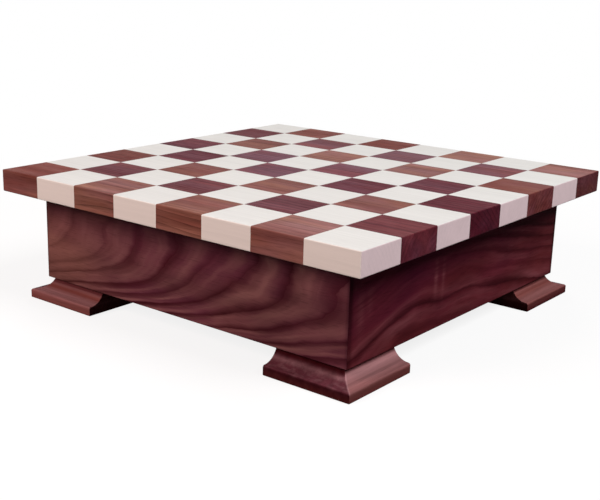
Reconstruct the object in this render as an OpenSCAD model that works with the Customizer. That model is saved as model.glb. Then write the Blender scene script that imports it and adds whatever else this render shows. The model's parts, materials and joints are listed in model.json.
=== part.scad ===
// Walnut and maple checkerboard on a storage case with four cove-edged feet.
// The board is the case's lid: it lifts straight off, and two battens under it keep it in place.
// X runs along the long grain of the board, Z is up, and the origin is the centre of the base.
// Lengths are in millimetres.

/* [Board] */
// Side of one square
square_w = 50.8; // [48:0.1:60]
// Thickness of the blocks
board_t = 20.5; // [16:0.5:28]
// Rounding of the board's outer edges
board_round = 1; // [0.4:0.1:2]

/* [Case] */
// Overhang of the board past the case walls
overhang = 27.5; // [16:0.5:36]
// Height of the case walls
wall_h = 84; // [60:1:110]
// Thickness of the case walls
wall_t = 19; // [17:0.5:24]
// Rounding of the case's upright corners
corner_round = 1; // [0.5:0.5:4]
// Thickness of the bottom panel
panel_t = 6; // [4:0.5:9]
// Height of the bottom panel above the walls' lower edges
panel_up = 9; // [7:0.5:14]
// Depth of the groove that holds the bottom panel
groove_d = 5; // [4:0.5:6]
// Room for the bottom panel to swell at each end of its groove
panel_play = 0.7; // [0.3:0.1:1.5]
// Thickness of the felt lining
felt_t = 1.5; // [1:0.5:3]
// Space between the felt and the walls
felt_gap = 0.5; // [0.2:0.1:2]

/* [Mitre splines] */
// Thickness of a spline
spline_t = 4; // [3:0.5:5]
// Width of a spline, across the joint
spline_w = 12; // [8:0.5:14]
// Distance of a spline's ends from the panel and from the walls' upper edges
spline_end = 6; // [3:0.5:12]
// Glue space at each edge of a spline
spline_play = 0.3; // [0.1:0.1:0.6]

/* [Feet] */
// Side of a foot block
foot_w = 84.5; // [70:0.5:100]
// Thickness of a foot block
foot_t = 20.5; // [17:0.5:26]
// How far a foot stands proud of the case walls
foot_out = 12; // [6:0.5:16]
// Radius of the cove on a foot's outer sides
cove_r = 15.5; // [13:0.5:17]
// Height of the cove's centre above the top of the foot
cove_rise = 3.5; // [1:0.5:5]
// Rounding of the edge under the cove
nose_round = 1.8; // [1:0.1:3]

/* [Foot screws] */
// Diameter of a foot screw
foot_screw_d = 4.5; // [3.5:0.1:5]
// Length of a foot screw
foot_screw_l = 45; // [35:1:50]
// Diameter of its countersunk head
foot_head_d = 9; // [7.5:0.1:10]
// Depth of the head below the foot's underside
foot_sink = 1.5; // [0.5:0.1:3]
// Distance of a foot screw from the corner of the case, along the wall
foot_screw_along = 50; // [35:1:56]

/* [Battens] */
// Width of a batten
batten_w = 38; // [30:1:50]
// Thickness of a batten
batten_t = 15; // [12:0.5:20]
// Clearance between the battens and the case walls
batten_gap = 1; // [0.5:0.1:2]
// Chamfer on a batten's lower edges
batten_chamfer = 3; // [1:0.5:4]

/* [Batten screws] */
// Diameter of a batten screw
batten_screw_d = 4; // [3.5:0.1:5]
// Depth of a batten screw in the board
batten_bite = 13; // [8:0.5:14]
// Diameter of its round head
round_head_d = 8; // [7:0.1:9]
// Height of its round head
round_head_h = 2.8; // [2:0.1:3.5]
// Outer diameter of a washer
washer_d = 12; // [10:0.5:14]
// Thickness of a washer
washer_t = 1; // [0.8:0.1:1.6]
// Length of the slots in which the outer screws can shift
slot_l = 9; // [6:0.5:9]

/* [Screw fits] */
// Space between a screw's shank and the piece that it passes through
shank_gap = 0.4; // [0.2:0.1:0.8]
// Space between a screw's thread and the wood that it bites in
thread_gap = 0.05; // [0.03:0.01:0.1]
// Depth of a pilot hole past the end of its screw
pilot_past = 1; // [0.5:0.1:2]
// Width of the driver slot in a screw head
driver_w = 1.1; // [0.8:0.1:1.4]
// Depth of the driver slot in a screw head
driver_d = 1.2; // [0.8:0.1:1.5]

/* [Hidden] */
$fn = 64;
eps = 0.01;
// A checkerboard always has eight squares along each side
squares = 8;
board_w = squares * square_w;
case_w = board_w - 2 * overhang;
inner_w = case_w - 2 * wall_t;
wall_z = foot_t;
panel_z = wall_z + panel_up;
felt_z = panel_z + panel_t;
board_z = wall_z + wall_h;
batten_z = board_z - batten_t;
batten_x = inner_w / 2 - batten_gap - batten_w / 2;
batten_l = inner_w - 2 * batten_gap;
// Distance from the middle of the case to the outer edge of a foot's top, which the cove undercuts
foot_top = case_w / 2 + foot_out - nose_round - sqrt(pow(cove_r, 2) - pow(cove_rise, 2));
// Foot screws run up midway between the panel's groove and that edge
foot_screw_out = (inner_w / 2 + groove_d + foot_top) / 2;
spline_z = felt_z + spline_end;
spline_h = board_z - spline_end - spline_z;
// Batten screws go into the middle of the blocks: the inner ones fix the board, the outer ones let it move
inner_screw_y = square_w / 2;
outer_screw_y = 2.5 * square_w;
batten_screw_ys = [-outer_screw_y, -inner_screw_y, inner_screw_y, outer_screw_y];
quarter_turns = [0, 90, 180, 270];
walnut = "#5f3a30";
maple = "#e9dcc6";
plywood = "#c79f6b";
baize = "#2f4a36";
brass = "#b58d3d";
steel = "#b9bcc0";

// Outline helpers

module rounded_rect(w, h, r) {
    square([w, h - 2 * r], center = true);
    square([w - 2 * r, h], center = true);
    for (x = [-1, 1], y = [-1, 1])
        translate([x * (w / 2 - r), y * (h / 2 - r)]) circle(r = r);
}

// The four places that a shape takes round the upright axis of the case
module each_side() {
    for (turn = quarter_turns)
        rotate(turn) children();
}

// Board

// The whole glued-up board, with its outer edges rounded: the blocks are cut from it
module board_blank() {
    translate([0, 0, board_z + board_t / 2])
        intersection() {
            translate([0, 0, -board_t / 2])
                linear_extrude(board_t) rounded_rect(board_w, board_w, board_round);
            rotate([90, 0, 0])
                linear_extrude(board_w, center = true) rounded_rect(board_w, board_t, board_round);
            rotate([90, 0, 90])
                linear_extrude(board_w, center = true) rounded_rect(board_w, board_t, board_round);
        }
}

// Strip i runs along Y. Its dark blocks are those for which strip and row add up to an even number
module strip_blocks(i, dark) {
    difference() {
        intersection() {
            board_blank();
            for (j = [1 : squares])
                if (((i + j) % 2 == 0) == dark)
                    translate([(i - 1) * square_w - board_w / 2, (j - 1) * square_w - board_w / 2, board_z])
                        cube([square_w, square_w, board_t]);
        }
        batten_screw_places()
            cylinder(d = batten_screw_d + 2 * thread_gap, h = batten_bite + pilot_past);
    }
}

module strip_walnut(i) {
    color(walnut) strip_blocks(i, true);
}

module strip_maple(i) {
    color(maple) strip_blocks(i, false);
}

// Battens and their screws

// Where the batten screws enter the board
module batten_screw_places() {
    for (side = [-1, 1], y = batten_screw_ys)
        translate([side * batten_x, y, board_z]) children();
}

// A round hole at an inner screw, and a slot along Y at an outer one
module batten_hole(y) {
    hole_d = batten_screw_d + 2 * shank_gap;
    reach = abs(y) > inner_screw_y ? (slot_l - hole_d) / 2 : 0;
    translate([0, y, -eps]) {
        for (shift = [-reach, reach])
            translate([0, shift, 0]) cylinder(d = hole_d, h = batten_t + 2 * eps);
        if (reach > 0)
            translate([-hole_d / 2, -reach, 0]) cube([hole_d, 2 * reach, batten_t + 2 * eps]);
    }
}

module batten(side) {
    color(maple)
        translate([side * batten_x, 0, batten_z])
            difference() {
                rotate([90, 0, 0])
                    linear_extrude(batten_l, center = true)
                        polygon([
                            [-batten_w / 2, batten_t],
                            [-batten_w / 2, batten_chamfer],
                            [-batten_w / 2 + batten_chamfer, 0],
                            [batten_w / 2 - batten_chamfer, 0],
                            [batten_w / 2, batten_chamfer],
                            [batten_w / 2, batten_t]
                        ]);
                for (y = batten_screw_ys)
                    batten_hole(y);
            }
}

module batten_left() {
    batten(-1);
}

module batten_right() {
    batten(1);
}

module batten_washers() {
    color(steel)
        batten_screw_places()
            translate([0, 0, -batten_t - washer_t])
                difference() {
                    cylinder(d = washer_d, h = washer_t);
                    translate([0, 0, -eps])
                        cylinder(d = batten_screw_d + 2 * shank_gap, h = washer_t + 2 * eps);
                }
}

// Round-head screws: the head is a slice of a sphere, with a driver slot
module batten_screws() {
    shank_l = batten_t + washer_t + batten_bite;
    head_r = (pow(round_head_d / 2, 2) + pow(round_head_h, 2)) / (2 * round_head_h);
    color(brass)
        batten_screw_places()
            translate([0, 0, -batten_t - washer_t]) {
                screw_shank(batten_screw_d, shank_l);
                difference() {
                    intersection() {
                        translate([0, 0, head_r - round_head_h]) sphere(r = head_r);
                        translate([0, 0, -round_head_h]) cylinder(d = round_head_d, h = round_head_h);
                    }
                    driver_slot(round_head_d, -round_head_h);
                }
            }
}

// A shank from z = 0 upwards, with a pointed end
module screw_shank(d, l) {
    rotate_extrude()
        polygon([[0, 0], [d / 2, 0], [d / 2, l - d], [0, l]]);
}

// The driver slot of a head whose end face is at height z
module driver_slot(head_d, z) {
    translate([0, 0, z + driver_d / 2 - eps])
        cube([head_d + 2 * eps, driver_w, driver_d + 2 * eps], center = true);
}

// Case

// One wall, on the +X side: mitred at both ends, grooved for the panel, slotted for the splines
module wall() {
    difference() {
        translate([0, 0, wall_z])
            linear_extrude(wall_h)
                intersection() {
                    difference() {
                        rounded_rect(case_w, case_w, corner_round);
                        square(inner_w, center = true);
                    }
                    polygon([[0, 0], [case_w, -case_w], [case_w, case_w]]);
                }
        translate([0, 0, panel_z + panel_t / 2])
            cube([inner_w + 2 * groove_d, inner_w + 2 * groove_d, panel_t], center = true);
        each_side() mitre_spline(spline_play);
        foot_screw_places()
            cylinder(d = foot_screw_d + 2 * thread_gap, h = foot_sink + foot_screw_l + pilot_past);
    }
}

module case_front() {
    color(walnut) rotate(270) wall();
}

module case_right() {
    color(walnut) wall();
}

module case_back() {
    color(walnut) rotate(90) wall();
}

module case_left() {
    color(walnut) rotate(180) wall();
}

// The spline of the front right corner, in the middle of the mitre and square to it.
// play widens it into the slot that it is glued in
module mitre_spline(play = 0) {
    translate([inner_w / 2 + wall_t / 2, -inner_w / 2 - wall_t / 2, spline_z - play])
        rotate(45)
            translate([-spline_w / 2 - play, -spline_t / 2, 0])
                cube([spline_w + 2 * play, spline_t, spline_h + 2 * play]);
}

module spline_front_right() {
    color(plywood) mitre_spline();
}

module spline_back_right() {
    color(plywood) rotate(90) mitre_spline();
}

module spline_back_left() {
    color(plywood) rotate(180) mitre_spline();
}

module spline_front_left() {
    color(plywood) rotate(270) mitre_spline();
}

module bottom_panel() {
    side = inner_w + 2 * (groove_d - panel_play);
    color(plywood)
        translate([0, 0, panel_z + panel_t / 2])
            cube([side, side, panel_t], center = true);
}

module felt_lining() {
    side = inner_w - 2 * felt_gap;
    color(baize)
        translate([0, 0, felt_z + felt_t / 2])
            cube([side, side, felt_t], center = true);
}

// Feet

// Section of a foot block, from its inner side at x = 0 to its outer side at x = foot_w.
// The nose's centre is straight below the cove's and their circles touch, so the curve has no step
module foot_section() {
    cove = [foot_w - nose_round, foot_t + cove_rise];
    nose = cove - [0, cove_r + nose_round];
    difference() {
        union() {
            square([cove.x, foot_t]);
            square([foot_w, nose.y]);
            translate(nose) circle(r = nose_round);
        }
        translate(cove) circle(r = cove_r, $fn = 128);
    }
}

// The foot block under the front right corner: its coves face +X and -Y
module foot_block() {
    inner_edge = case_w / 2 + foot_out - foot_w;
    difference() {
        mirror([0, 1, 0])
            translate([inner_edge, inner_edge, 0])
                intersection() {
                    rotate([90, 0, 90]) linear_extrude(foot_w) foot_section();
                    translate([0, foot_w, 0]) rotate([90, 0, 0]) linear_extrude(foot_w) foot_section();
                }
        foot_screw_places() {
            translate([0, 0, -eps])
                cylinder(d = foot_screw_d + 2 * shank_gap, h = foot_t + 2 * eps);
            translate([0, 0, -eps])
                cylinder(d = foot_head_d + 2 * shank_gap, h = foot_sink + 2 * eps);
            translate([0, 0, foot_sink])
                cylinder(
                    d1 = foot_head_d + 2 * shank_gap,
                    d2 = foot_screw_d + 2 * shank_gap,
                    h = (foot_head_d - foot_screw_d) / 2
                );
        }
    }
}

module foot_front_right() {
    color(walnut) foot_block();
}

module foot_back_right() {
    color(walnut) rotate(90) foot_block();
}

module foot_back_left() {
    color(walnut) rotate(180) foot_block();
}

module foot_front_left() {
    color(walnut) rotate(270) foot_block();
}

// The eight foot screws' axes, two to a foot, one in each wall
module foot_screw_places() {
    along = case_w / 2 - foot_screw_along;
    each_side()
        for (y = [-along, along])
            translate([foot_screw_out, y, 0]) children();
}

module foot_screws() {
    color(brass)
        foot_screw_places()
            translate([0, 0, foot_sink])
                difference() {
                    union() {
                        cylinder(d1 = foot_head_d, d2 = foot_screw_d, h = (foot_head_d - foot_screw_d) / 2);
                        screw_shank(foot_screw_d, foot_screw_l);
                    }
                    driver_slot(foot_head_d, 0);
                }
}

for (i = [1 : squares]) {
    strip_walnut(i);
    strip_maple(i);
}
batten_left();
batten_right();
batten_washers();
batten_screws();
case_front();
case_right();
case_back();
case_left();
spline_front_right();
spline_back_right();
spline_back_left();
spline_front_left();
bottom_panel();
felt_lining();
foot_front_right();
foot_back_right();
foot_back_left();
foot_front_left();
foot_screws();
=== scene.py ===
# %% [markdown]
# A walnut and maple checkerboard lies on a storage case with four coved feet. This lesson dresses the
# measured model of it: it keeps the model's plain pieces, replaces those that need a finer shape, and
# gives every piece its wood, felt or metal. Lengths are in metres, or in millimetres where a comment
# says so.

# %% Load the measured model
import json
import math

import bpy
import numpy as np
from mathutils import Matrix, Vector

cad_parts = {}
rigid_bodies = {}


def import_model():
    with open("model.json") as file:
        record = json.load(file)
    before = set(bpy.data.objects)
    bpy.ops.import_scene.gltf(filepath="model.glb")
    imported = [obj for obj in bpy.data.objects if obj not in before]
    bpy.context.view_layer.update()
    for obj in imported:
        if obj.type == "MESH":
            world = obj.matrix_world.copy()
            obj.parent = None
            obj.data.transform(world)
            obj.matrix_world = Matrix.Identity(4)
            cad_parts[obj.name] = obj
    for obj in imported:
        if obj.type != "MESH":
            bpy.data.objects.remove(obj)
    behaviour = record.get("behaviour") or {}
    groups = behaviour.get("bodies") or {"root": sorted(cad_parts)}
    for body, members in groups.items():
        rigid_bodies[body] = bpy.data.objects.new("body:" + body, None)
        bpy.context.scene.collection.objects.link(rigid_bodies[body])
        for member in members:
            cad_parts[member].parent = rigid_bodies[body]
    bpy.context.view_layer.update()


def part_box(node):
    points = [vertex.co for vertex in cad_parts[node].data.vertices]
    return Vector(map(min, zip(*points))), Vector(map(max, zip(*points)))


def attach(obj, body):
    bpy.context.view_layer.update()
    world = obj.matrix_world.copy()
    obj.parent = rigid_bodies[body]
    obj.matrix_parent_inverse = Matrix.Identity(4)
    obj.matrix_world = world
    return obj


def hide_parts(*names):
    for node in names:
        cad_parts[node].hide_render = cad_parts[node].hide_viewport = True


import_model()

# %% [markdown]
# The sizes of the new pieces come from the pieces that they stand for, so the two always agree.
# The board has eight squares along each side. A case wall's box reaches from its inner face to its
# outer face, because its ends are mitred.

# %% Sizes
MM = 0.001
SQUARES = 8
board_lo, board_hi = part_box("strip_1_walnut")[0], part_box("strip_8_walnut")[1]
half_board = board_hi.x
square = 2 * half_board / SQUARES
wall_lo, wall_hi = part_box("case_right")
panel_lo, panel_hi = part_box("bottom_panel")
foot_lo, foot_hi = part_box("foot_front_right")
print("square %.1f mm, case %.1f mm wide" % (square / MM, 2 * wall_hi.x / MM))

# %% [markdown]
# The camera looks at the front corner from a metre away, a little above the board. Its lens is
# somewhat longer than the eye's own view, which keeps the far squares from looking too small. Its
# place was found by matching the board's corners and the case's edges.

# %% Camera
camera = bpy.data.objects.new("camera", bpy.data.cameras.new("camera"))
bpy.context.collection.objects.link(camera)
camera.location = (0.5985, -0.7864, 0.3201)
camera.rotation_euler = [math.radians(angle) for angle in (74.545, -1.173, 39.856)]
camera.data.sensor_width = 36
camera.data.lens = 63.02
camera.data.shift_x = 0.0564
camera.data.shift_y = -0.004
bpy.context.scene.camera = camera
bpy.context.scene.view_settings.view_transform = "Standard"
print("camera %.2f m from the middle of the base" % camera.location.length)

# %% [markdown]
# Colours are written as the hex values of a paint chart. A renderer adds light, so it needs linear
# values, and one function turns the first into the second.


# %% Colours
def colour(code):
    """Linear RGBA of an sRGB hex code: c / 12.92 when dark, else ((c + 0.055) / 1.055) to the power 2.4."""
    channels = np.array([int(code[k:k + 2], 16) for k in (1, 3, 5)]) / 255
    linear = np.where(channels <= 0.04045, channels / 12.92, ((channels + 0.055) / 1.055) ** 2.4)
    return (*linear.tolist(), 1.0)


print("a middle grey of the chart, #808080, sends back %.0f %% of the light" % (100 * colour("#808080")[0]))

# %% [markdown]
# A material is a net of nodes, and one function adds any of them. A node's settings decide which of
# its sockets are in use, so they are set first. Then its values go into those sockets in their order,
# or by name where a node has many.


# %% Nodes
def add(tree, kind, *values, named=None, output=None, stops=None, **settings):
    """Adds a node with its settings and links, and returns its named output, or else the first in use.

    A number is set, a hex code becomes its colour, and another node's output is linked. Stops are the
    positions and hex codes of a colour ramp.
    """
    node = tree.nodes.new("ShaderNode" + kind)
    for name, value in settings.items():
        setattr(node, name, value)
    if stops:
        ramp = node.color_ramp.elements
        ramp.remove(ramp[1])
        ramp[0].position = stops[0][0]
        ramp[0].color = colour(stops[0][1])
        for position, code in stops[1:]:
            ramp.new(position).color = colour(code)
    given = list(zip((socket for socket in node.inputs if socket.enabled), values))
    given += [(node.inputs[name], value) for name, value in (named or {}).items()]
    for socket, value in given:
        if isinstance(value, bpy.types.NodeSocket):
            tree.links.new(value, socket)
        else:
            socket.default_value = colour(value) if isinstance(value, str) else value
    return node.outputs[output] if output else next((end for end in node.outputs if end.enabled), None)


def new_material(name):
    """An empty material, with the tree to fill."""
    material = bpy.data.materials.new(name)
    material.use_nodes = True
    material.node_tree.nodes.clear()
    return material, material.node_tree


print("kinds of nodes to choose from:", sum(kind.startswith("ShaderNode") for kind in dir(bpy.types)))

# %% [markdown]
# The object stands on a floor painted matt white, in a white room. Both show as white to the camera
# and in reflections, while little of their light falls on the object. Close by, the floor keeps a
# part of its own shading, so that there is a soft shadow to stand on. That part fades out with the
# distance, and the floor runs into the room without a horizon.

# %% Matt white floor
floor_light = 0.1
shadow_share = 0.16
shadow_fades_from, shadow_fades_to = 0.3, 0.8
reach = 6.0


def white_when_seen(tree):
    """1 for rays from the camera and for reflections, 0 for the rays that carry light to the object."""
    seen = 0.0
    for ray in ("Is Camera Ray", "Is Glossy Ray", "Is Transmission Ray"):
        seen = add(tree, "Math", add(tree, "LightPath", output=ray), seen, operation="MAXIMUM")
    return seen


floor_mesh = bpy.data.meshes.new("floor")
corners = [(-reach, -reach, 0), (reach, -reach, 0), (reach, reach, 0), (-reach, reach, 0)]
floor_mesh.from_pydata(corners, [], [(0, 1, 2, 3)])
floor = bpy.data.objects.new("floor", floor_mesh)
bpy.context.collection.objects.link(floor)

floor_paint, tree = new_material("matt_white_floor")
seen = white_when_seen(tree)
shaded = add(tree, "BsdfDiffuse", add(tree, "MapRange", seen, 0, 1, floor_light, 1.0))
white = add(tree, "Emission", "#ffffff", 1.0)
distance = add(tree, "VectorMath", add(tree, "TexCoord", output="Object"), operation="LENGTH")
far_share = add(
    tree, "MapRange", distance, shadow_fades_from, shadow_fades_to, 1 - shadow_share, 1.0,
    interpolation_type="SMOOTHSTEP",
)
white_share = add(tree, "Math", seen, far_share, operation="MULTIPLY")
add(tree, "OutputMaterial", add(tree, "MixShader", white_share, shaded, white))
floor_mesh.materials.append(floor_paint)
print("floor of %.0f by %.0f m" % (2 * reach, 2 * reach))

# %% White room
room_light = 0.07
room = bpy.data.worlds.new("white_room")
room.use_nodes = True
tree = room.node_tree
tree.nodes.clear()
level = add(tree, "MapRange", white_when_seen(tree), 0, 1, room_light, 1.0)
add(tree, "OutputWorld", add(tree, "Background", "#ffffff", level))
bpy.context.scene.world = room
print("the room lights the object at %.0f %% of white" % (100 * room_light))

# %% [markdown]
# Three lamps do the lighting: a low, warm window in front; a skylight steeply over the right side,
# so that the board's overhang shades the case there; and a weaker window at the far end of the room
# for the two sides that face away. The board would mirror that one as a grey glare, so it is left
# out of reflections.

# %% Lamps
lamps = {
    "window": ((-0.5, -1.8, 1.15), 0.9, 36, (1.0, 0.79, 0.75)),
    "skylight": ((1.9, 0.1, 2.1), 1.2, 67, (1.0, 0.99, 1.0)),
    "far window": ((-1.35, 1.4, 0.5), 0.8, 15, (1.0, 0.95, 0.92)),
}
aim_height = 0.1
for name, (place, size, watts, tint) in lamps.items():
    lamp = bpy.data.lights.new(name, "AREA")
    lamp.shape = "SQUARE"
    lamp.size = size
    lamp.energy = watts
    lamp.color = tint
    holder = bpy.data.objects.new(name, lamp)
    bpy.context.collection.objects.link(holder)
    holder.location = place
    aim = -holder.location
    aim.z += aim_height
    holder.rotation_euler = aim.to_track_quat("-Z", "Y").to_euler()
    holder.visible_glossy = name != "far window"
    print("%s: %d W from %.1f m away" % (name, watts, aim.length))

# %% [markdown]
# New pieces are made from whole arrays of points and faces. One function puts them into Blender,
# with the values that the finish reads at each point:
# grain, the place of the point in its own plank, with x along the fibres;
# fibre, the direction of the fibres, because end grain shows where a face looks along them;
# and any other number.


# %% Put arrays into Blender
sharp_from = math.radians(30)


def piece(name, body, points, faces, nodes, slot, **values):
    """Makes a mesh piece that rides on a body and stands for the named nodes of the measured model."""
    mesh = bpy.data.meshes.new(name)
    mesh.from_pydata(points.tolist(), [], [list(face) for face in faces])
    for key, numbers in values.items():
        numbers = np.asarray(numbers, dtype=float)
        kind, field = ("FLOAT_VECTOR", "vector") if numbers.ndim == 2 else ("FLOAT", "value")
        mesh.attributes.new(key, kind, "POINT").data.foreach_set(field, numbers.ravel())
    mesh.shade_smooth()
    mesh.set_sharp_from_angle(angle=sharp_from)
    thing = bpy.data.objects.new(name, mesh)
    bpy.context.collection.objects.link(thing)
    weighted = thing.modifiers.new("flat faces stay flat", "WEIGHTED_NORMAL")
    weighted.keep_sharp = True
    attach(thing, body)
    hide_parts(*nodes)
    print(name, "has", len(faces), "faces")
    return thing


def quarter_turns(turns, x, y):
    """x and y after a number of quarter turns about the middle, anticlockwise."""
    cos, sin = ((1, 0), (0, 1), (-1, 0), (0, -1))[turns]
    return cos * x - sin * y, sin * x + cos * y


# %% [markdown]
# A block of the board is a box whose sides are divided by grid lines. Its glued sides stay sharp and
# flush, and only the board's own outer edges are rounded over, as if a router had run round the
# finished board. So every point is moved by a rule for the whole board: near an edge, a square
# section turns into a round one. A bevel on each block would have rounded its glued sides as well.


# %% Boxes and rounded edges
arris = 1.0 * MM
hair = 0.001 * MM


def lattice_box(xs, ys, zs):
    """Points and faces of a box divided along the lines xs, ys and zs.

    Lattice point (i, j, k) has the number (i * ny + j) * nz + k. A side is the first or last layer of
    the lattice along one axis, and each of its faces joins a point to the next along both others.
    """
    counts = (len(xs), len(ys), len(zs))
    number = np.arange(np.prod(counts)).reshape(counts)
    faces = []
    for axis in range(3):
        for last in (0, 1):
            layer = np.take(number, -last, axis=axis)
            corners = [layer[:-1, :-1], layer[1:, :-1], layer[1:, 1:], layer[:-1, 1:]]
            quads = np.stack(corners, -1).reshape(-1, 4)
            faces.append(quads if bool(last) != (axis == 1) else quads[:, ::-1])
    faces = np.concatenate(faces)
    used, faces = np.unique(faces, return_inverse=True)
    points = np.stack(np.meshgrid(xs, ys, zs, indexing="ij"), -1).reshape(-1, 3)
    return points[used], faces.reshape(-1, 4)


def round_over(points, lo, hi, radius):
    """Rounds the edges of the box from lo to hi, for points on it or in it.

    The part d of a point that lies past the box shrunk by the radius goes to d * max|d| / |d|, which
    turns squares round the shrunk box's edges into circles.
    """
    core = np.clip(points, lo + radius, hi - radius)
    past = points - core
    widest = np.abs(past).max(-1, keepdims=True)
    length = np.linalg.norm(past, axis=-1, keepdims=True)
    return core + past * np.divide(widest, length, out=np.zeros_like(length), where=length > 0)


def grid_lines(start, stop, lo, hi, radius, parts=4, steps=3):
    """Lines from start to stop: evenly spaced ones, and radius * tan(angle) past the shrunk box's side
    for equal steps of the angle up to 45 degrees, wherever the edge to round over is."""
    arc = radius * np.tan(np.radians(np.linspace(0, 45, steps + 1)))
    lines = np.concatenate([np.linspace(start, stop, parts + 1), lo + radius - arc, hi - radius + arc])
    lines = np.unique(np.round(lines, 7))
    return lines[(lines > start - hair) & (lines < stop + hair)]


print("the board's outer edges are rounded by %.1f mm" % (arris / MM))

# %% [markdown]
# The board was glued from eight planks, walnut and maple in turn, and cut across into eight strips.
# Every second strip was turned end for end. So a block's wood comes from the plank that its square
# belonged to: in a turned strip the planks run in the opposite order, and the fibres the other way.
# Each plank lay at some distance and side from the heart of its tree, and its growth rings circle
# round that line. The heart lies well off the plank's middle, because right under it a ring would
# run flat along the top as one long dark dash.
#
# Each plank takes its pattern from a place of its own, far from the others', so that no two planks
# look alike. For each walnut plank three things are listed: how plum-coloured it is, from 0 for
# brown to 1; its tone, from 0 for dark to 1 for pale, at its start, middle and end; and how much
# darker its end grain has become from the finish that soaked in. Chance then makes each square a
# little darker or paler.

# %% Planks
planks_apart = 0.9
saw_cut = 3 * MM
rng = np.random.default_rng(254241)
heart_side = rng.uniform(-60, 60, SQUARES) * MM
heart_side += 25 * MM * np.sign(heart_side)
heart_below = rng.uniform(35, 90, SQUARES) * MM
chance = rng.uniform(-0.35, 0.35, (SQUARES, SQUARES))
walnut_planks = {
    0: (0.0, (0.15, 0.4, 0.95), 0.55),
    2: (0.15, (0.1, 0.65, 0.6), 0.15),
    4: (1.0, (0.0, 0.9, 0.1), 0.4),
    6: (0.85, (0.0, 0.65, 0.4), 0.0),
}
plain = (0.0, (0.5, 0.5, 0.5), 0.0)
print("distances from the heart in mm:", np.round(heart_below / MM).astype(int).tolist())

# %% The board's blocks
board_low = np.array([-half_board, -half_board, board_lo.z])
board_high = np.array([half_board, half_board, board_hi.z])


def block(i, j):
    """Points, faces, places in the plank and wood of the block in strip i, row j."""
    low = np.array([i * square - half_board, j * square - half_board, board_lo.z])
    high = low + (square, square, board_hi.z - board_lo.z)
    lines = [grid_lines(low[k], high[k], board_low[k], board_high[k], arris) for k in range(3)]
    points, faces = lattice_box(*lines)
    points = round_over(points, board_low, board_high, arris)
    turned = i % 2 == 1
    plank = SQUARES - 1 - j if turned else j
    grain = points - (low + high) / 2
    grain[:, :2] *= -1 if turned else 1
    grain += (i * (square + saw_cut) + planks_apart * plank, heart_side[plank], heart_below[plank])
    plum, tones, soaked = walnut_planks.get(plank, plain)
    tone = np.interp(i, (0, (SQUARES - 1) / 2, SQUARES - 1), tones) + chance[plank, i]
    wood = [[plum], [np.clip(tone, 0, 1)], [soaked]]
    return points, faces, grain, *np.repeat(wood, len(points), axis=1)


for i in range(SQUARES):
    for odd, wood in enumerate(("walnut", "maple")):
        made = [block(i, j) for j in range(SQUARES) if (i + j) % 2 == odd]
        points, faces, grain, plum, tone, soaked = zip(*made)
        firsts = np.cumsum([0] + [len(part) for part in points])
        name = "strip_%d_%s" % (i + 1, wood)
        piece(
            name + "_blocks", "board", np.concatenate(points),
            np.concatenate([part + first for part, first in zip(faces, firsts)]),
            [name], wood + "_blocks",
            grain=np.concatenate(grain),
            fibre=np.tile((1.0, 0.0, 0.0), (firsts[-1], 1)),
            plum=np.concatenate(plum),
            tone=np.concatenate(tone),
            soaked=np.concatenate(soaked),
        )

# %% [markdown]
# A case wall is a planed board with a groove inside for the bottom panel, and both its ends are cut
# to a mitre. It could be a box with a bevel, but that would round the mitre's glued edges too. So
# the wall's section is carried along it: outer face, eased edges, inner face and groove. The mitre
# then comes by itself, because a point at distance r from the case's middle runs from -r to r along
# the wall. Where two walls meet, the outer corner is rounded.

# %% Section of a wall
corner_round = 1.0 * MM
wall_arris = 0.8 * MM
groove_depth = 5 * MM
inner, outer = wall_lo.x, wall_hi.x


def quarter(middle_r, middle_z, radius, start, steps=3):
    """A quarter of a circle in the section, from the angle start on, anticlockwise."""
    angles = np.radians(start + np.linspace(0, 90, steps + 1))
    return np.column_stack([middle_r + radius * np.cos(angles), middle_z + radius * np.sin(angles)])


def wall_section(levels=25, inner_levels=14):
    """The section as a closed loop of (distance from the case's middle, height), anticlockwise."""
    low, high, e = wall_lo.z, wall_hi.z, wall_arris
    outside = np.linspace(low + e, high - e, levels)[1:-1]
    inside = np.linspace(high - e, panel_hi.z, inner_levels)[1:-1]
    back = inner + groove_depth
    return np.concatenate([
        quarter(outer - e, low + e, e, 270),
        np.column_stack([np.full(len(outside), outer), outside]),
        quarter(outer - e, high - e, e, 0),
        quarter(inner + e, high - e, e, 90),
        np.column_stack([np.full(len(inside), inner), inside]),
        [(inner, panel_hi.z), (back, panel_hi.z), (back, panel_lo.z), (inner, panel_lo.z)],
        quarter(inner + e, low + e, e, 180),
    ])


section = wall_section()
print("the section of a wall has", len(section), "points")


# %% Shape of a wall
def wall_mesh(parts=80, steps=4):
    """Points (distance out, along, height) and faces of the wall on the +X side.

    Column s of the grid, from -1 to 1, holds the section at along = s * r. Seen from above, the
    case's outer corners are rounded over as the board's edges are.
    """
    core = outer - corner_round
    arc = core + corner_round * np.tan(np.radians(np.linspace(0, 45, steps + 1)))[1:]
    half = np.concatenate([np.linspace(0, core, parts + 1), arc]) / outer
    columns = np.concatenate([-half[:0:-1], half])
    along = columns[:, None] * section[:, 0]
    out, up = (np.broadcast_to(values, along.shape) for values in section.T)
    corner = np.array([outer, outer])
    plan = round_over(np.stack([out, along], -1), -corner, corner, corner_round)
    points = np.concatenate([plan, up[..., None]], -1).reshape(-1, 3)
    number = np.arange(len(points)).reshape(along.shape)
    after = np.roll(number, -1, axis=1)
    quads = np.stack([number[:-1], number[1:], after[1:], after[:-1]], -1).reshape(-1, 4)
    ends = [number[0].tolist(), number[-1, ::-1].tolist()]
    return points, [*quads.tolist(), *ends]


wall_points, wall_faces = wall_mesh()
print("a wall has", len(wall_faces), "faces")

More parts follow.
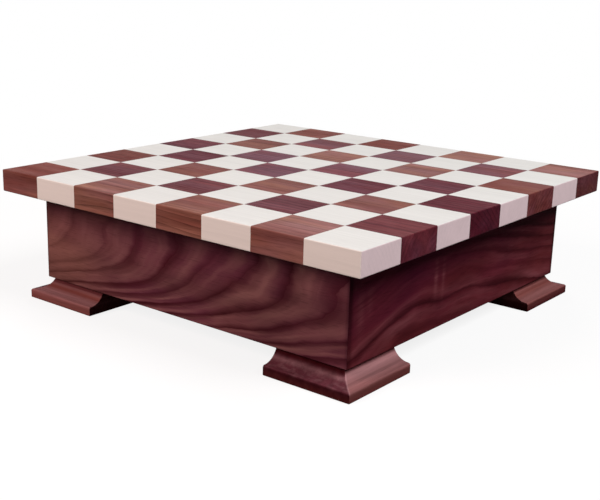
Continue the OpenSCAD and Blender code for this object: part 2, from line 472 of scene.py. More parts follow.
# %% [markdown]
# The walls were sawn from a leaning trunk, which gives them a bold figure. On the front and back walls,
# which are brown, the growth rings stand upright at the top and sweep away to the left further down. On the
# other two, which are redder and darker, they lie along the wall and rise and fall like hills; their
# darkness partly stands in for the shade on the right side, as painted shade. A ready-made wood texture
# knows no such course, so it is written as one curve: a shift of the whole pattern along the wall at each
# height, or a rise of it at each place along the wall.
#
# Then the rings differ only by where their dark late wood lies, in millimetres, and how bold it is.
# Each wall is listed with its quarter turns from the right side, its course and the strength of
# that, how plum-coloured it is at its start, middle and end, and its rings. A negative strength
# mirrors the course.

# %% Rings of the four walls
hills = (
    (-176, -26), (-138, -16), (-115, -7), (-95, -2), (-72, 0), (-45, -4),
    (0, -3), (40, -9), (80, -15), (120, -22), (176, -32),
)
walls = {
    "case_front": (3, "sweep", 1, (0.0, 0.95, 0.9), (
        (-170, 0.4), (-132, 0.45), (-80, 0.45), (-44, 0.8), (4, 1), (42, 0.6),
        (81, 1), (125, 1), (176, 0.95), (231, 0.8), (280, 0.7), (330, 0.6),
    )),
    # The right wall's rings crowd together and turn bold near the top, which also paints in shade under the
    # board.
    "case_right": (0, "hills", 1, (0.6, 0.5, 0.3), (
        (5, 0.3), (27, 0.4), (49.5, 1.1), (66, 0.3), (80, 0.9),
        (92, 0.9), (102, 1), (113, 1.1), (125, 1.1), (140, 1),
    )),
    "case_back": (1, "sweep", -0.8, (0.5, 0.3, 0.6), (
        (-300, 0.5), (-250, 0.7), (-205, 0.5), (-160, 1), (-120, 0.6), (-80, 0.9),
        (-42, 0.4), (12, 1), (60, 0.7), (92, 0.5), (140, 1), (185, 0.6),
    )),
    "case_left": (2, "hills", -0.8, (0.6, 0.8, 0.5), (
        (10, 0.4), (22, 0.7), (36, 0.4), (47, 1), (58, 0.5),
        (70, 0.8), (84, 0.9), (97, 0.6), (108, 1), (125, 0.7),
    )),
}
bend_height = 92.6 * MM
slant, curl = 0.25, 360


def figure(along, up, way, strength, rings):
    """The number of rings up to each point, and how bold the dark wood is there.

    Sweep: at the depth d under the bend's height, the pattern is shifted by slant * d + curl * d^3,
    in metres, and its dark wood is bolder. Hills: the pattern rises by the hills' curve, which is
    smoothed, and on one side its upper rings grow faint.
    """
    if way == "sweep":
        below = np.maximum(bend_height - up, 0)
        place = along + strength * (slant * below + curl * below ** 3)
        fade = np.interp(up, (45 * MM, 85 * MM), (1.05, 0.7))
    else:
        at, rise = np.array(hills).T * MM
        run = math.copysign(1, strength) * along
        smoothed = np.interp(run[..., None] + np.linspace(-12, 12, 7) * MM, at, rise).mean(-1)
        place = up - abs(strength) * smoothed
        faint = np.interp(run, (-40 * MM, 80 * MM), (0.85, 0.0))
        fade = 1 - faint * np.interp(place, (54 * MM, 64 * MM), (0, 1))
    at, bold = np.array(rings).T
    return np.interp(place, at * MM, np.arange(len(at))), fade * np.interp(place, at * MM, bold)


print("rings listed:", {name: len(wall[-1]) for name, wall in walls.items()})

# %% [markdown]
# Three more things vary over a wall. Where the fibres run into the surface, they catch the light in pale
# ribs and patches, and these are painted highlights, called glows here: each is a soft spot with its place
# along the wall, its height and its reach both ways, in millimetres, and its strength. Near the board the
# wood is painted more plum-coloured, a painted shade tint. And the wood is drawn darker in a narrow line
# beside the mitres, and on the two redder walls in a strip of painted shade under the board's far end. A
# painted picture could hold this, but these few numbers stay sharp at any size.

# %% Glows and darkened places of a wall
# Each glow is a painted highlight: place along the wall, height, reach along, reach up, in mm, and strength.
glows = {
    "case_front": ((139, 80, 13, 12, 0.3), (160, 50, 14, 6, 0.2), (-105, 66, 30, 16, 0.25)),
    "case_right": (
        (-51, 62, 2.6, 15, 0.65), (-39, 61, 2.2, 15, 0.5), (-160, 62, 5, 18, 0.3), (-148, 70, 4, 12, 0.2),
    ),
}


def glow_of(name, along, up):
    """The sum of the wall's glows, each of which falls off as exp(-(distance / reach)^2)."""
    total = np.zeros(len(along))
    for at, height, wide, high, strength in np.array(glows.get(name, ())):
        total += strength * np.exp(-((along / MM - at) / wide) ** 2 - ((up / MM - height) / high) ** 2)
    return total


def plum_of(along, up, along_wall, low_down):
    """The share of plum at the start, middle and end of the wall, and what the height adds to it as a
    painted shade tint, most near the board.
    """
    # The height's part is a painted shade tint, most plum near the board.
    by_height = np.interp(up, (30 * MM, 60 * MM, 90 * MM), (low_down, 0, 0.4))
    return np.interp(along, (-outer, 0, outer), along_wall) + by_height


def darkened_at(along, up, line, far_end):
    """How much darker the wood is drawn: in a line of the given width beside each mitre, which is weaker low
    down, and as painted shade in a strip under the board that grows towards the far end."""
    beside = np.clip((np.abs(along) - outer + line) / (4.5 * MM), 0, 1) ** 1.5
    strip = np.interp(along, (-60 * MM, 70 * MM), (0, far_end)) * np.clip((up - 64 * MM) / (16 * MM), 0, 1)
    return np.maximum(np.interp(up, (30 * MM, 70 * MM), (0.6, 1)) * beside, strip)


print("glows on the walls:", {name: len(spots) for name, spots in glows.items()})

# %% The four walls
walls_apart = 1.7
for name, (turns, way, strength, along_wall, rings) in walls.items():
    out, along, up = wall_points.T
    depth = outer - out
    brown = way == "sweep"
    ring, bold = figure(along + 0.5 * depth, up + 0.4 * depth, way, strength, rings)
    piece(
        name + ("_figured_brown" if brown else "_figured_red"), "case",
        np.column_stack([*quarter_turns(turns, out, along), up]), wall_faces, [name], "walnut_case",
        grain=np.column_stack([along + walls_apart * turns, depth, up]),
        fibre=np.tile((*quarter_turns(turns, 0.0, 1.0), 0.0), (len(along), 1)),
        ring=ring,
        bold=bold,
        glow=glow_of(name, along, up),
        plum=plum_of(along, up, along_wall, 0 if brown else -0.25),
        dim=darkened_at(along, up, (4 if brown else 7.5) * MM, 0 if brown else 0.5),
    )

# %% [markdown]
# A foot is a square block with a cove along its two outer sides, down to a rounded nose. Two rods
# could be cut out of a block, but the corner where the coves meet would be hard to finish. So the
# section is carried round the block's outline: each level of it gives how far the sides reach, and
# the outline there is a square with eased corners.

# %% Section of a foot
foot_inner, foot_reach, foot_top = foot_lo.x, foot_hi.x, foot_hi.z
cove = 15.5 * MM
cove_rise = 3.5 * MM
nose = 1.8 * MM
foot_arris = 0.7 * MM


def foot_section():
    """Levels of the block from the underside up: (inner sides' place, outer sides' place, height).

    The nose is a quarter of a circle, and the cove an arc of a larger one that touches the nose's
    top, so its centre stands straight above the nose's, a little above the foot.
    """
    e = foot_arris
    low = quarter(foot_reach - e, e, e, 270, 4)
    middle_r, middle_z = foot_reach - nose, foot_top + cove_rise
    round_nose = quarter(middle_r, middle_z - cove - nose, nose, 0, 6)
    angles = np.linspace(1.5 * math.pi, math.pi + math.asin(cove_rise / cove), 15)[1:]
    hollow = np.column_stack([middle_r + cove * np.cos(angles), middle_z + cove * np.sin(angles)])
    outer_side = np.concatenate([low, round_nose, hollow])
    ease = np.where(outer_side[:, 1] < e, foot_reach - outer_side[:, 0], 0)
    return np.column_stack([foot_inner + ease, outer_side])


def outline(lo, hi, radius, parts=6, steps=3):
    """A square from lo to hi both ways, anticlockwise, with its corners rounded."""
    near, far = lo + radius, hi - radius
    middles = ((far, near, 270), (far, far, 0), (near, far, 90), (near, near, 180))
    arcs = [quarter(x, y, radius, start, steps) for x, y, start in middles]
    share = np.linspace(0, 1, parts + 1)[1:-1, None]
    loop = []
    for arc, following in zip(arcs, arcs[1:] + arcs[:1]):
        loop += [arc, arc[-1] + share * (following[0] - arc[-1])]
    return np.concatenate(loop)


levels = foot_section()
print("a foot's section has", len(levels), "levels")

# %% [markdown]
# Two countersunk screws hold each foot from below. Their holes are seen when the object is turned
# over, so they are part of the mesh: rings of points for the head's seat, its cone and the shank's
# hole, as radius and height in millimetres. The underside is filled with triangles round them. One
# screw goes up into each of the two walls over the foot, at the same distance from their corner.

# %% Shape of a foot
screw_from_corner = 50 * MM
screw_head = 9 * MM
screw_along = outer - screw_from_corner
screw_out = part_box("foot_screws")[1].x - screw_head / 2
screw_hole = ((4.9, 0), (4.9, 1.5), (2.65, 3.75), (2.65, 6))
eased_corner = 0.6 * MM


def sides(loops):
    """Faces between each row of point numbers and the next, where a row is a closed loop."""
    after = np.roll(loops, -1, axis=1)
    return np.stack([loops[:-1], after[:-1], after[1:], loops[1:]], -1).reshape(-1, 4)


def facing_down(points, triangles):
    """The triangles, turned over where the cross product of two of their sides points up."""
    a, b, c = points[triangles, :2].swapaxes(0, 1)
    p, q = b - a, c - a
    up = p[:, 0] * q[:, 1] - p[:, 1] * q[:, 0] > 0
    return np.where(up[:, None], triangles[:, ::-1], triangles)


def foot_mesh(screws, turn_steps=24):
    """Points and faces of the foot with outer sides +X and +Y, with its screws at the given places."""
    from mathutils.geometry import tessellate_polygon
    turn = np.linspace(0, 2 * math.pi, turn_steps + 1)[:-1]
    circle = np.column_stack([np.cos(turn), np.sin(turn)])
    rings = [(outline(lo, hi, eased_corner), z) for lo, hi, z in levels]
    rings += [(place + radius * MM * circle, z * MM) for place in screws for radius, z in screw_hole]
    points = np.concatenate([np.column_stack([ring, np.full(len(ring), z)]) for ring, z in rings])
    block_loops = np.arange(len(levels) * len(rings[0][0])).reshape(len(levels), -1)
    hole_loops = np.arange(block_loops.size, len(points)).reshape(len(screws), len(screw_hole), -1)
    faces = [*sides(block_loops).tolist(), block_loops[-1].tolist()]
    for loops in hole_loops:
        faces += [*sides(loops)[:, ::-1].tolist(), loops[-1, ::-1].tolist()]
    under = [block_loops[0], *hole_loops[:, 0]]
    filled = np.array(tessellate_polygon([points[loop].tolist() for loop in under]))
    return points, faces + facing_down(points, np.concatenate(under)[filled]).tolist()


foot_points, foot_faces = foot_mesh([(screw_along, screw_out), (screw_out, screw_along)])
print("a foot has", len(foot_faces), "faces")

# %% [markdown]
# Such feet are cut from one long moulding with the fibres along its cove, and then the second cove is cut
# across them. So each foot shows long grain on one outer side and end grain, here called crosscut, on the
# other. A painted sheen makes the cove pale at given heights, and a painted highlight runs as a thin pale
# line where the two coves meet. Shade is painted into the hollow under the case and low on the nose, most of
# all on end grain. All this follows the shape, so it is worked out at its points, not painted on a picture.
#
# A foot is listed with its quarter turns from the back right corner, its fibres' direction before that turn,
# how much painted sheen the cove has at three heights, and how much painted shade the nose has on its
# long-grain side.

# %% The four feet
feet_apart = 0.8
feet = {
    "foot_front_right": (3, (1, 0), (0.36, 0.5, 0.5), 0.55),
    "foot_back_right": (0, (0, 1), (0.2, 0.0, 0.1), 1.15),
    "foot_back_left": (1, (1, 0), (0.15, 0.05, 0.1), 0.3),
    "foot_front_left": (2, (1, 0), (0.45, -0.1, 0.3), 0.0),
}


def painted_sheen_of(z, crosscut, shares):
    """How much painted sheen makes the cove pale: the shares at their heights along the fibres, a band 7.5
    mm under the foot's top where it was cut across, and nothing below 6 mm."""
    band = 0.35 * np.clip(1 - 3 * np.abs((foot_top - z) / (7.5 * MM) - 1), 0, 1)
    along_fibres = np.interp(z, (9.5 * MM, 12.5 * MM, 15.5 * MM), shares)
    return np.clip((z - 6 * MM) / (3 * MM), 0, 1) * np.where(crosscut, band, along_fibres)


def painted_shade_of(z, crosscut, front, nose_shade):
    """How dark the painted shade is: in the top 5 mm, or 6 mm on the front, and on the nose below 8 mm."""
    under_case = np.clip((np.where(front, 6, 5) * MM - foot_top + z) / (1.5 * MM), 0, 1)
    on_nose = np.clip((8 * MM - z) / (2 * MM), 0, 1)
    return np.maximum(under_case, np.where(crosscut, 1.0, nose_shade) * on_nose)


for name, (turns, run, shares, nose_shade) in feet.items():
    x, y, z = foot_points.T
    points = np.column_stack([*quarter_turns(turns, x, y), z])
    along, across = (x, y) if run == (1, 0) else (y, x)
    crosscut = (along > across) & (z > 1 * MM)
    front = -points[:, 1] > np.abs(points[:, 0])
    piece(
        name + "_moulded", "case", points, foot_faces, [name], "walnut_feet",
        grain=np.column_stack([along + feet_apart * turns, across - foot_inner, z + 27 * MM]),
        fibre=np.tile((*quarter_turns(turns, *run), 0.0), (len(points), 1)),
        pale=painted_sheen_of(z, crosscut, shares),
        crosscut=crosscut,
        recess=painted_shade_of(z, crosscut, front, nose_shade),
        mitre=np.where(z > 5 * MM, x - y, 1.0),
    )

# %% [markdown]
# The case is lined with a sheet of wool felt, cut to fit and laid on the bottom panel. Real felt is
# never quite flat, so its top rises and falls by a fifth of a millimetre in waves about 160 mm long.
# A sculpted surface would do the same, but a product of two sine waves needs one line. The sheet is
# one layer of faces, and a modifier gives it its thickness downwards.

# %% Felt lining
felt_side = 312.4 * MM
felt_thick = 1.5 * MM
swell_height = 0.2 * MM
lines = np.linspace(-felt_side / 2, felt_side / 2, 61)
u, v = np.meshgrid(lines, lines, indexing="ij")
waves = np.sin((u + 0.07 * v) / (24 * MM)) * np.cos((v - 0.13 * u) / (27 * MM))
level = panel_hi.z + felt_thick - swell_height * (1 + waves) / 2
number = np.arange(u.size).reshape(u.shape)
quads = np.stack([number[:-1, :-1], number[1:, :-1], number[1:, 1:], number[:-1, 1:]], -1).reshape(-1, 4)
points = np.stack([u, v, level], -1).reshape(-1, 3)
felt = piece("felt_sheet", "case", points, quads, ["felt_lining"], "felt")
thicken = felt.modifiers.new("thickness of the felt", "SOLIDIFY")
thicken.thickness = felt_thick - swell_height
thicken.offset = -1

# %% [markdown]
# A wood's look is built up in layers, and each only makes the tint a little lighter or darker:
# growth rings that fade in and out, streaks that are long along the fibres and narrow across them,
# broad patches, and pores. A photographed wood could be wrapped round the pieces, but its grain
# would not run through them. Noise in each piece's own plank does.
#
# A pattern's size is given in millimetres, along the fibres and both ways across them. Walnut's
# pores are 0.2 mm wide and its fibres 0.03 mm, too fine to show in a picture of the whole object,
# so the pores are drawn 0.9 mm wide and the fibres as streaks of 4 mm.


# %% Layers of a wood
def speckle(tree, place, size, to=None, ends=(0.3, 0.7), detail=2.0, rough=0.5):
    """Noise, mostly from 0.3 to 0.7, in patches of the size in millimetres each way.

    The place is divided by the size, so that a patch is as long as the noise's own, one unit. The
    noise between the ends is carried over to the two values in to, where these are given.
    """
    stretch = [1 / (length * MM) for length in size]
    scaled = add(tree, "VectorMath", place, stretch, operation="MULTIPLY")
    noise = add(tree, "TexNoise", scaled, 1.0, detail, rough)
    return add(tree, "MapRange", noise, *ends, *to) if to else noise


def product(tree, *factors):
    """All the factors multiplied."""
    total = factors[0]
    for factor in factors[1:]:
        total = add(tree, "Math", total, factor, operation="MULTIPLY")
    return total


def end_grain(tree, runs=None):
    """1 where the face looks along the fibres, 0 where it looks across them."""
    runs = runs or add(tree, "Attribute", output="Vector", attribute_name="fibre")
    facing = add(tree, "TexCoord", output="Normal")
    along = add(tree, "VectorMath", facing, runs, operation="DOT_PRODUCT")
    return add(tree, "MapRange", add(tree, "Math", along, operation="ABSOLUTE"), 0.5, 0.9, 0, 1)


def open_pores(tree, place):
    """1 in the short dark dashes where pores were cut open, 0 between them."""
    return speckle(tree, place, (16.7, 0.91, 0.91), (0, 1), (0.56, 0.68), 1.0)


image_width = 600
pixel = camera.location.length * camera.data.sensor_width / camera.data.lens / image_width
print("a pixel of the picture covers %.2f mm of the object" % (pixel / MM))

# %% [markdown]
# The finish is a thin satin varnish, wiped on, so the wood reflects only a little and its pores and
# streaks can still be felt. End grain drinks more of it and gets a shade of its own and less gloss.
# A thick coat would need the shader's coat layer, while a thin one only lowers the wood's roughness.


# %% Satin varnish
varnish_ior = 1.5


def varnish(tree, tint, light, end, end_shade, pores, streaks, gloss, shine):
    """Adds the varnished surface: the tint times the light, with the end grain's shade over it.

    The roughness starts at the value called gloss, and pores and end grain raise it. Shine scales
    how much of the room the varnish mirrors: 0.5 is a full clear coat, and this one shows far less.
    """
    tint = add(tree, "Mix", end, tint, end_shade, data_type="RGBA", blend_type="MULTIPLY")
    paint = add(tree, "VectorMath", tint, light, operation="SCALE")
    smooth = add(tree, "MapRange", end, 0, 1, gloss, min(1, gloss + 0.2))
    dull = add(tree, "Math", pores, 0.15, smooth, operation="MULTIPLY_ADD")
    relief = add(tree, "Math", pores, -0.6, streaks, operation="MULTIPLY_ADD")
    bumps = add(tree, "Bump", named={"Strength": 0.1, "Distance": 0.2 * MM, "Height": relief})
    surface = add(tree, "BsdfPrincipled", named={
        "Base Color": paint, "Roughness": dull, "Normal": bumps,
        "IOR": varnish_ior, "Specular IOR Level": shine,
    })
    add(tree, "OutputMaterial", surface)


head_on = ((varnish_ior - 1) / (varnish_ior + 1)) ** 2
print("a clear coat of it mirrors %.0f %% of the light that falls straight on it" % (100 * head_on))

# %% [markdown]
# A plain wood has its growth rings as cylinders round the heart of its tree, a little out of round.
# Within a ring the wood darkens with the third power of the way through it, down to the factor
# late, and the next ring starts light again. The squares and feet bring their place in the plank
# with them; a kept piece of the model uses its own coordinates and one direction for its fibres.


# %% Plain timber
darkening = 3.0


def timber(name, shade, ring_width, late=0.8, fibre=None, mark=1.0, streak=0.12, pore=0.12, patch=0.12,
           end_shade="#c8a8aa", gloss=0.5, shine=0.02):
    """A wood of one shade, or of the shade that a function works out from the piece's own values.

    Mark, streak, pore and patch are how strongly the rings, streaks, pores and patches show.
    """
    material, tree = new_material(name)
    runs = add(tree, "CombineXYZ", *fibre) if fibre else None
    if fibre:
        place = add(tree, "TexCoord", output="Object")
    else:
        place = add(tree, "Attribute", output="Vector", attribute_name="grain")
    if fibre == (0, 1, 0):
        place = add(tree, "Mapping", place, named={"Rotation": (0, 0, -math.pi / 2)})
    across = add(tree, "VectorMath", place, (0, 1 / ring_width, 1 / ring_width), operation="MULTIPLY")
    ring = add(tree, "VectorMath", across, operation="LENGTH")
    ring = add(tree, "Math", speckle(tree, place, (143, 33.3, 33.3)), 2.0, ring, operation="MULTIPLY_ADD")
    part = add(tree, "Math", add(tree, "Math", ring, operation="FRACT"), darkening, operation="POWER")
    comes = speckle(tree, place, (166.7, 25, 25), (0, mark), (0.35, 0.6), 1.0)
    streaks = speckle(tree, place, (166.7, 3.85, 3.85), detail=3.0)
    pores = open_pores(tree, place)
    light = product(
        tree,
        add(tree, "MapRange", product(tree, part, comes), 0, 1, 1, late),
        add(tree, "MapRange", streaks, 0.3, 0.7, 1 - streak, 1 + streak),
        speckle(tree, place, (200, 14.3, 14.3), (1 - patch, 1 + patch), detail=1.0),
        add(tree, "MapRange", pores, 0, 1, 1, 1 - pore),
    )
    tint = shade if isinstance(shade, str) else shade(tree)
    varnish(tree, tint, light, end_grain(tree, runs), end_shade, pores, streaks, gloss, shine)
    return material


print("halfway through a ring, %.1f %% of the darkening is done" % (100 * 0.5 ** darkening))

# %% [markdown]
# The squares are black walnut, from a brown trunk and a plum-coloured one, and cream white hard maple,
# planed, glued up and sanded flat. The tones on the top differ more than the sides', partly at random and
# partly as painted sheen, and the maple is painted cooler and greyer there, as a brightly lit top looks. A
# material for each shade would be one way, but each block's own numbers choose its shade, so two materials
# are enough.


# %% Shades of the squares
def faces_up(tree):
    """1 on the board's top, 0 on its sides."""
    upwards = add(tree, "SeparateXYZ", add(tree, "TexCoord", output="Normal"), output="Z")
    return add(tree, "MapRange", upwards, 0.5, 0.9, 0, 1)


middle_tone = 0.45
kept_on_sides = 0.4


def square_shade(tree):
    """Walnut of the squares: brown or plum, dark or pale, with a drift of the tone inside a block.

    On the sides, only a share of the tone's distance from the middle one is kept, because the wider spread
    on the top is partly painted sheen.
    """
    place = add(tree, "Attribute", output="Vector", attribute_name="grain")
    tone, share, soaked = (
        add(tree, "Attribute", output="Fac", attribute_name=name) for name in ("tone", "plum", "soaked")
    )
    drift = speckle(tree, place, (111, 18.2, 18.2), (-0.25, 0.25))
    # The wider tone spread on the top is partly painted sheen.
    tone_and_sheen_spread = add(tree, "MapRange", faces_up(tree), 0, 1, kept_on_sides, 1)
    from_middle = add(tree, "Math", tone, middle_tone, operation="SUBTRACT")
    tone = add(tree, "Math", from_middle, tone_and_sheen_spread, middle_tone, operation="MULTIPLY_ADD")
    tone = add(tree, "Math", tone, drift, operation="ADD", use_clamp=True)
    warm = speckle(tree, place, (76.9, 23.8, 23.8), (0, 1), (0.38, 0.62), 1.0)
    pale_brown = add(tree, "Mix", warm, "#946a68", "#986c5c", data_type="RGBA")
    pale_plum = add(tree, "Mix", warm, "#6c4653", "#773f47", data_type="RGBA")
    brown = add(tree, "Mix", tone, "#6c332c", pale_brown, data_type="RGBA")
    plum = add(tree, "Mix", tone, "#541a26", pale_plum, data_type="RGBA")
    shade = add(tree, "Mix", share, brown, plum, data_type="RGBA")
    drunk = product(tree, end_grain(tree), soaked)
    return add(tree, "Mix", drunk, shade, "#2c0a18", data_type="RGBA")


def maple_shade(tree):
    """Maple of the squares: warm on the board's sides, and painted cooler and greyer on its top, as a
    brightly lit top looks.
    """
    return add(tree, "Mix", faces_up(tree), "#e1dbd4", "#d8dbd8", data_type="RGBA")


side_tones = [middle_tone + kept_on_sides * (tone - middle_tone) for tone in (0, 1)]
print("tones from 0 to 1 on the top are %.2f to %.2f on the sides" % tuple(side_tones))

# %% Woods of the squares
finishes = {
    "_walnut_blocks": timber(
        "varnished_black_walnut_squares", square_shade, 4.5 * MM, 0.48,
        streak=0.18, pore=0.2, end_shade="#eccadc",
    ),
    "_maple_blocks": timber(
        "varnished_hard_maple_squares", maple_shade, 4 * MM, 0.95,
        streak=0.02, pore=0.02, patch=0.02, end_shade="#ffebf6",
    ),
}
print("squares:", [wood.name for wood in finishes.values()])

# %% [markdown]
# The feet are black walnut too, cut with a moulding cutter and sanded by hand, which leaves their end grain
# dark, dull and full of short pale flecks. The numbers that came with each foot say where sheen and shade
# are painted and where it was cut across, and the noise breaks them up.


# %% Walnut of the feet
def moulding_shade(tree):
    """Walnut of the feet: dark and mottled where the cove was cut across, with painted sheen, a painted
    highlight and painted shade.
    """
    place = add(tree, "Attribute", output="Vector", attribute_name="grain")
    crosscut, pale, mitre, recess = (
        add(tree, "Attribute", output="Fac", attribute_name=name)
        for name in ("crosscut", "pale", "mitre", "recess")
    )
    streaks = speckle(tree, place, (143, 5.9, 5.9), (0, 0.4), (0.45, 0.65))
    long_grain = add(tree, "Mix", streaks, "#713c38", "#905853", data_type="RGBA")
    shade = add(tree, "Mix", crosscut, long_grain, "#562b33", data_type="RGBA")
    flecks = speckle(tree, place, (4, 9.1, 9.1), (0, 0.16), (0.45, 0.75))
    pale = add(tree, "Math", crosscut, flecks, pale, operation="MULTIPLY_ADD")
    from_mitre = add(tree, "Math", mitre, operation="ABSOLUTE")
    # A painted highlight along the mitre, where the two coves meet.
    mitre_highlight = add(tree, "MapRange", from_mitre, 0, 1.5 * MM, 0.35, 0)
    pale = add(tree, "Math", pale, mitre_highlight, operation="ADD", use_clamp=True)
    # Mixes in the end grain's pale flecks and the painted sheen on the cove.
    shade = add(tree, "Mix", pale, shade, "#ae8488", data_type="RGBA")
    # Painted shade under the case and low on the nose.
    return add(tree, "Mix", product(tree, recess, 0.85), shade, "#431015", data_type="RGBA")


finishes["_moulded"] = timber(
    "satin_walnut_mouldings", moulding_shade, 5 * MM, 0.75,
    mark=0.6, streak=0.16, end_shade="#c0a8b0", shine=0.006,
)
print("feet:", finishes["_moulded"].name)

# %% [markdown]
# The case is made of figured walnut, planed, sanded and varnished. Late wood darkens slowly towards
# the end of a ring and stops at once where the next ring begins, so the dark lines are soft on one
# side and sharp on the other. They also come and go along their course. The fine streaks and the
# pale flashes follow the rings instead of the wall's edge, because there the saw met the fibres at
# a slant. So these two are noise in a plane whose directions are the wall and the ring's number.

# %% Late wood
late_wood = [
    (0.0, "#e8e8e8"), (0.02, "#c0c0c0"), (0.12, "#585858"), (0.3, "#000000"),
    (0.6, "#606060"), (0.85, "#d0d0d0"), (1.0, "#ffffff"),
]


def wavy_ring(tree, place):
    """The ring's number from the wall's own figure, bent by broad waves and fine jags."""
    waves = speckle(tree, place, (125, 50, 50), (-0.35, 0.35), (0.2, 0.8), 1.0)
    jags = speckle(tree, place, (22.2, 9.1, 9.1), (-0.07, 0.07), (0.2, 0.8))
    ring = add(tree, "Attribute", output="Fac", attribute_name="ring")
    return add(tree, "Math", add(tree, "Math", ring, waves, operation="ADD"), jags, operation="ADD")


def late_share(tree, place, ring):
    """The way through the ring, raised to a power that makes it narrow or wide, and how much of the
    wood there is late wood."""
    narrow = speckle(tree, place, (111, 35.7, 35.7), (0.6, 3.5), detail=1.0)
    part = add(tree, "Math", add(tree, "Math", ring, operation="FRACT"), narrow, operation="POWER")
    return part, add(tree, "ValToRGB", part, stops=late_wood)


print("late wood has", len(late_wood), "stops")


# %% Figured walnut of the case
def figured_walnut(name, brown, plum, pale, line, shine):
    """Walnut whose rings, their boldness, plum share, painted highlights (glows) and darkened places come
    with the piece.
    """
    material, tree = new_material(name)
    place = add(tree, "Attribute", output="Vector", attribute_name="grain")
    bold, dim, glow, share = (
        add(tree, "Attribute", output="Fac", attribute_name=name) for name in ("bold", "dim", "glow", "plum")
    )
    ring = wavy_ring(tree, place)
    part, late = late_share(tree, place, ring)

    clouds = speckle(tree, place, (111, 41.7, 41.7), (-0.35, 0.35))
    share = add(tree, "Math", share, clouds, operation="ADD", use_clamp=True)
    tint = add(tree, "Mix", share, brown, plum, data_type="RGBA")

    # The ring's number stands for metres here, so a patch of 200 mm is a fifth of a ring wide.
    run = add(tree, "SeparateXYZ", place, output="X")
    course = add(tree, "CombineXYZ", run, ring)
    streaks = speckle(tree, course, (111, 200, 1000), detail=3.0)
    flashes = speckle(tree, course, (90.9, 667, 1000), (0.2, 1.3), (0.42, 0.66))
    not_late, early = (add(tree, "Math", 1.0, full, operation="SUBTRACT") for full in (late, part))
    lit = add(tree, "MapRange", dim, 0, 1, 1, 0.1)
    tint = add(tree, "Mix", product(tree, flashes, not_late, early, bold, lit), tint, pale, data_type="RGBA")
    # Glows are painted highlights: pale ribs where the fibres catch the light.
    rib = product(tree, glow, add(tree, "MapRange", streaks, 0.35, 0.65, 0.4, 1.6))
    tint = add(tree, "Mix", rib, tint, pale, data_type="RGBA")
    comes = speckle(tree, place, (90.9, 29.4, 29.4), (0.6, 1), (0.35, 0.6), 1.0)
    tint = add(tree, "Mix", product(tree, late, bold, comes), tint, line, data_type="RGBA")

    pores = open_pores(tree, place)
    # The last factor darkens the line beside each mitre and the painted shade under the board.
    light = product(
        tree,
        add(tree, "MapRange", streaks, 0.3, 0.7, 0.91, 1.09),
        speckle(tree, place, (83.3, 38.5, 38.5), (0.75, 1.25)),
        add(tree, "MapRange", pores, 0, 1, 1, 0.82),
        add(tree, "MapRange", dim, 0, 1, 1, 0.4),
    )
    varnish(tree, tint, light, end_grain(tree), "#c8a8aa", pores, streaks, 0.55, shine)
    return material


finishes["_figured_brown"] = figured_walnut(
    "satin_brown_figured_walnut", "#774d47", "#592b38", "#865a58", "#31050b", 0.005,
)
# The red walls' wood is darker as well as redder, and the darkness partly stands in for shade, as painted
# shade.
finishes["_figured_red"] = figured_walnut(
    "satin_red_figured_walnut", "#5c2125", "#4b1427", "#783f45", "#2f0a10", 0.004,
)
print("case:", finishes["_figured_brown"].name, finishes["_figured_red"].name)

# %% [markdown]
# Inside are two plain woods. The battens are hard maple, planed and oiled, pale and nearly without
# figure, with their fibres across the board's. The bottom panel and the splines in the mitres are
# birch plywood, peeled from the log and sanded, so the eye meets wide, faint rings and a dull, yellow
# face. Their shapes are plain enough to stay as the measured model has them.

# %% Woods inside the case
finishes["batten_"] = timber(
    "planed_maple_battens", "#e2d2ba", 4 * MM, 0.9, fibre=(0, 1, 0),
    streak=0.05, pore=0.06, patch=0.06, end_shade="#eee2d8", gloss=0.6,
)
finishes["bottom_panel"] = finishes["spline_"] = timber(
    "birch_plywood", "#d5b88c", 9 * MM, 0.85, fibre=(1, 0, 0),
    streak=0.08, pore=0.1, patch=0.1, end_shade="#e6d8c8", gloss=0.6,
)
print("inside:", finishes["batten_"].name, finishes["spline_"].name)

# %% [markdown]
# The lining is green wool felt, fibres pressed into a mat, so the eye meets a dull, soft surface
# with a little sheen and no gloss. A wool fibre is 0.03 mm thick, too fine to show, so the tufts are
# drawn 1.1 mm wide, over clouds of 22 mm where the dye took differently.

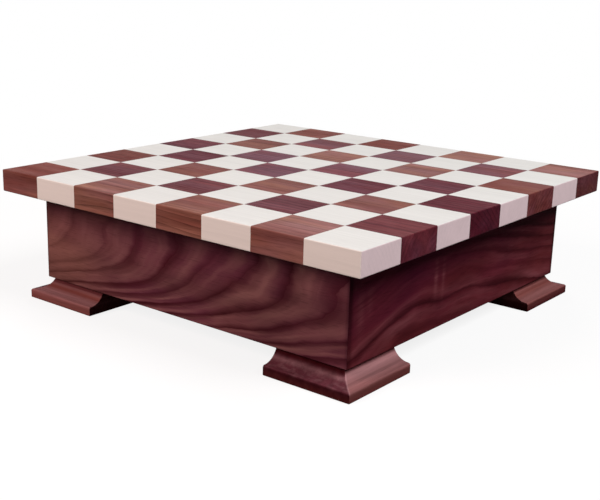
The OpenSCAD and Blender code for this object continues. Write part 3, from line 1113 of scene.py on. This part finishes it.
# %% Wool felt
felt_wool, tree = new_material("green_wool_felt")
place = add(tree, "TexCoord", output="Object")
tufts = speckle(tree, place, (1.1, 1.1, 1.1), detail=3.0, rough=0.7)
clouds = speckle(tree, place, (22.2, 22.2, 22.2))
mottle = add(tree, "Math", add(tree, "Math", tufts, clouds, operation="ADD"), 0.5, operation="MULTIPLY")
tint = add(tree, "ValToRGB", mottle, stops=[(0.35, "#16351f"), (0.5, "#1f4a2b"), (0.65, "#2c5f3a")])
bumps = add(tree, "Bump", named={"Strength": 0.6, "Distance": 0.3 * MM, "Height": tufts})
surface = add(tree, "BsdfPrincipled", named={
    "Base Color": tint, "Roughness": 0.95, "Normal": bumps, "Sheen Weight": 0.08, "Sheen Roughness": 0.5,
})
add(tree, "OutputMaterial", surface)
finishes["felt_sheet"] = felt_wool
print("lining:", felt_wool.name)

# %% [markdown]
# The screws are turned brass and the washers zinc-plated steel. Bright metals show what they mirror,
# so their roughness does most of the work: turning leaves fine tool marks, and handling a little
# tarnish, in spots of 4.5 mm. Tool marks are about 0.1 mm apart, too fine to show, so they are drawn
# 0.7 mm wide.


# %% Brass and zinc
def machined_metal(name, tones, rough):
    """Metal with fine tool marks, which raise the roughness by up to 0.2, and a little tarnish."""
    material, tree = new_material(name)
    place = add(tree, "TexCoord", output="Object")
    marks = speckle(tree, place, (0.67, 0.67, 0.67))
    tarnish = speckle(tree, place, (4.5, 4.5, 4.5), detail=3.0)
    tint = add(tree, "ValToRGB", tarnish, stops=tones)
    dull = add(tree, "MapRange", marks, 0, 1, rough, rough + 0.2)
    bumps = add(tree, "Bump", named={"Strength": 0.15, "Distance": 0.05 * MM, "Height": marks})
    surface = add(tree, "BsdfPrincipled", named={
        "Base Color": tint, "Metallic": 1.0, "Roughness": dull, "Normal": bumps,
    })
    add(tree, "OutputMaterial", surface)
    return material


finishes["batten_screws"] = finishes["foot_screws"] = machined_metal(
    "turned_brass", [(0.3, "#8f6f33"), (0.55, "#c29a4f"), (0.8, "#d3b06a")], 0.25,
)
finishes["batten_washers"] = machined_metal(
    "zinc_plated_steel", [(0.3, "#8f9297"), (0.6, "#b4b7bb"), (0.8, "#c9ccd0")], 0.3,
)
print("metals:", finishes["foot_screws"].name, finishes["batten_washers"].name)

# %% [markdown]
# Last, every piece gets its finish. Its name tells which: the new pieces' names end in a finish's
# key, and the kept ones' start with one. Where two keys fit, the longer one counts.

# %% Finish the pieces
dressed = []
for thing in bpy.data.objects:
    keys = [key for key in finishes if key in thing.name]
    if thing.type == "MESH" and keys:
        thing.data.materials.clear()
        thing.data.materials.append(finishes[max(keys, key=len)])
        dressed.append(thing.name)
print(len(dressed), "pieces have their finish")
